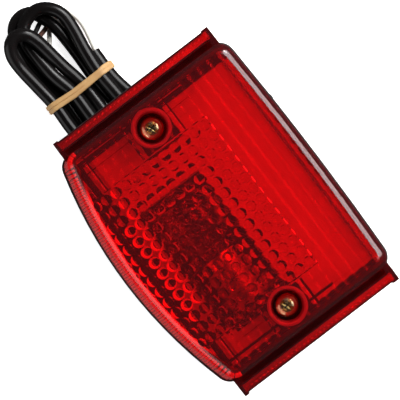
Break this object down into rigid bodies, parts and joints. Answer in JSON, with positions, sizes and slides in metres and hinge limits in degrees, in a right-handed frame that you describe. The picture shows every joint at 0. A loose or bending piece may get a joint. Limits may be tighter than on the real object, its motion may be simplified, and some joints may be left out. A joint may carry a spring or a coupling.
{
  "type": "trailer tail light",
  "caption": "Rectangular red trailer tail light with a bowed lower side, screw-on lens, side reflex panels, inner bulb and a bundled black cord.",
  "frame": {"origin": "centre of the light's plan at the flat back face of the housing, with the light lying on its back", "axes": "+Z out through the lens, +X along the light's length away from the cord, +Y towards its straight long side"},
  "size_m": [0.183, 0.094, 0.052],
  "materials": {
    "lens": "gloss",
    "housing": "satin",
    "gasket": "matte",
    "reflector": "satin",
    "brass": "satin",
    "lens_screw": "satin",
    "zinc": "satin",
    "insulator": "satin",
    "glass": "gloss",
    "solder": "satin",
    "filament": "satin",
    "cord": "gloss",
    "white_wire": "satin",
    "brown_wire": "satin",
    "black_wire": "satin",
    "band": "matte"
  },
  "bodies": {
    "housing": {"housing": "housing", "gasket": "gasket", "screw_insert_left": "brass", "screw_insert_right": "brass", "mount_insert_lower": "brass", "mount_insert_upper": "brass", "reflector_panel": "reflector", "socket_shell": "zinc", "socket_bracket": "zinc", "bracket_rivet_ground": "zinc", "bracket_rivet_plain": "zinc", "ground_terminal": "brass", "socket_spring": "zinc", "lead_ground": "white_wire", "lead_tail": "brown_wire", "lead_stop": "black_wire", "cable_grommet": "gasket", "cable_lead": "cord", "cable_hank": "cord", "rubber_band": "band"},
    "lens": {"lens": "lens"},
    "seal_left": {"screw_seal_left": "gasket"},
    "screw_left": {"lens_screw_left": "lens_screw"},
    "seal_right": {"screw_seal_right": "gasket"},
    "screw_right": {"lens_screw_right": "lens_screw"},
    "carrier": {"contact_carrier": "insulator", "contact_tail": "brass", "contact_stop": "brass"},
    "bulb": {"bulb_glass": "glass", "bulb_base": "brass", "bulb_insulator": "insulator", "bulb_contact_tail": "solder", "bulb_contact_stop": "solder", "filament_stem": "glass", "filament_stop": "filament", "filament_tail": "filament"}
  },
  "joints": [
    {"name": "lens_lift", "type": "slide", "parent": "housing", "child": "lens", "axis": [0, 0, 1], "range_m": [0, 0.045]},
    {"name": "bulb_push", "type": "slide", "parent": "housing", "child": "carrier", "axis": [1, 0, 0], "range_m": [0, 0.002], "stiffness_N_per_m": 1500, "deforming": ["socket_spring", "lead_tail", "lead_stop"]},
    {"name": "bulb_twist", "type": "hinge", "parent": "carrier", "child": "bulb", "pos_m": [0.0215, -0.01, 0.033], "axis": [1, 0, 0], "range_deg": [0, 20]},
    {"name": "screw_left_out", "type": "slide", "parent": "lens", "child": "seal_left", "axis": [0, 0, 1], "range_m": [0, 0.0096]},
    {"name": "screw_left_turn", "type": "hinge", "parent": "seal_left", "child": "screw_left", "pos_m": [-0.04485, 0, 0.0435], "axis": [0, 0, 1], "range_deg": [0, 4320]},
    {"name": "screw_right_out", "type": "slide", "parent": "lens", "child": "seal_right", "axis": [0, 0, 1], "range_m": [0, 0.0096]},
    {"name": "screw_right_turn", "type": "hinge", "parent": "seal_right", "child": "screw_right", "pos_m": [0.04485, 0, 0.0435], "axis": [0, 0, 1], "range_deg": [0, 4320]}
  ],
  "couplings": [
    {"joint": "screw_left_turn", "follows": "screw_left_out", "rad_per_m": 7854},
    {"joint": "screw_right_turn", "follows": "screw_right_out", "rad_per_m": 7854}
  ]
}
